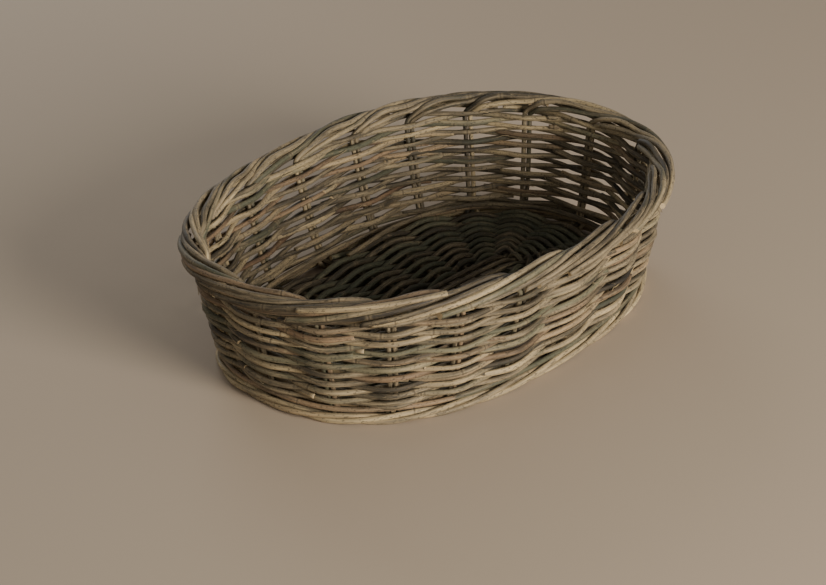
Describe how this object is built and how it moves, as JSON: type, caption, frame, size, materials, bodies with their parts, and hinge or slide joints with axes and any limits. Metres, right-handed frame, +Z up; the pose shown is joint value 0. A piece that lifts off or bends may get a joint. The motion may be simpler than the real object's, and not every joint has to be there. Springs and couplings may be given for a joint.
{
  "type": "wicker pet bed basket",
  "caption": "Oval open pet bed basket woven from unpeeled grey-brown rattan rods, with flared walls, a rolled rod border and a woven base.",
  "frame": {"origin": "middle of the footprint, on the surface that the basket stands on", "axes": "+X along the long axis of the oval, +Y across it, +Z up out of the open top"},
  "size_m": [0.2072, 0.1572, 0.053],
  "materials": {
    "stake_rattan": "unpeeled rattan, tan to olive grey, dry satin",
    "weaver_rattan": "unpeeled rattan, mixed grey-brown, dry satin",
    "base_rattan": "unpeeled rattan, dark grey-brown, dry",
    "stick_rattan": "unpeeled rattan, grey-brown, dry",
    "foot_rattan": "unpeeled rattan, light tan, dry satin"
  },
  "bodies": {
    "root": {"base_short_stick_01": "stick_rattan", "base_short_stick_02": "stick_rattan", "base_short_stick_03": "stick_rattan", "base_short_stick_04": "stick_rattan", "base_short_stick_05": "stick_rattan", "base_short_stick_06": "stick_rattan", "base_short_stick_07": "stick_rattan", "base_long_stick_01": "stick_rattan", "base_long_stick_02": "stick_rattan", "base_long_stick_03": "stick_rattan", "base_weaver_01": "base_rattan", "base_weaver_02": "base_rattan", "edge_rod_inside": "foot_rattan", "edge_rod_outside": "foot_rattan", "foot_rod_01": "foot_rattan", "foot_rod_02": "foot_rattan", "foot_rod_03": "foot_rattan", "wall_weaver_01": "weaver_rattan", "wall_weaver_02": "weaver_rattan", "wall_weaver_03": "weaver_rattan", "wall_weaver_04": "weaver_rattan", "wall_weaver_05": "weaver_rattan", "wall_weaver_06": "weaver_rattan", "wall_weaver_07": "weaver_rattan", "wall_weaver_08": "weaver_rattan", "wall_weaver_09": "weaver_rattan", "wall_weaver_10": "weaver_rattan", "wall_weaver_11": "weaver_rattan", "wall_weaver_12": "weaver_rattan", "wall_weaver_13": "weaver_rattan", "wall_weaver_14": "weaver_rattan", "wall_weaver_15": "weaver_rattan", "wall_weaver_16": "weaver_rattan", "wall_weaver_17": "weaver_rattan", "wall_weaver_18": "weaver_rattan", "wall_weaver_19": "weaver_rattan", "stake_pair_01": "stake_rattan", "stake_pair_02": "stake_rattan", "stake_pair_03": "stake_rattan", "stake_pair_04": "stake_rattan", "stake_pair_05": "stake_rattan", "stake_pair_06": "stake_rattan", "stake_pair_07": "stake_rattan", "stake_pair_08": "stake_rattan", "stake_pair_09": "stake_rattan", "stake_pair_10": "stake_rattan", "stake_pair_11": "stake_rattan", "stake_pair_12": "stake_rattan", "stake_pair_13": "stake_rattan", "stake_pair_14": "stake_rattan", "stake_pair_15": "stake_rattan", "stake_pair_16": "stake_rattan", "stake_pair_17": "stake_rattan", "stake_pair_18": "stake_rattan", "stake_pair_19": "stake_rattan", "stake_pair_20": "stake_rattan"}
  },
  "joints": []
}
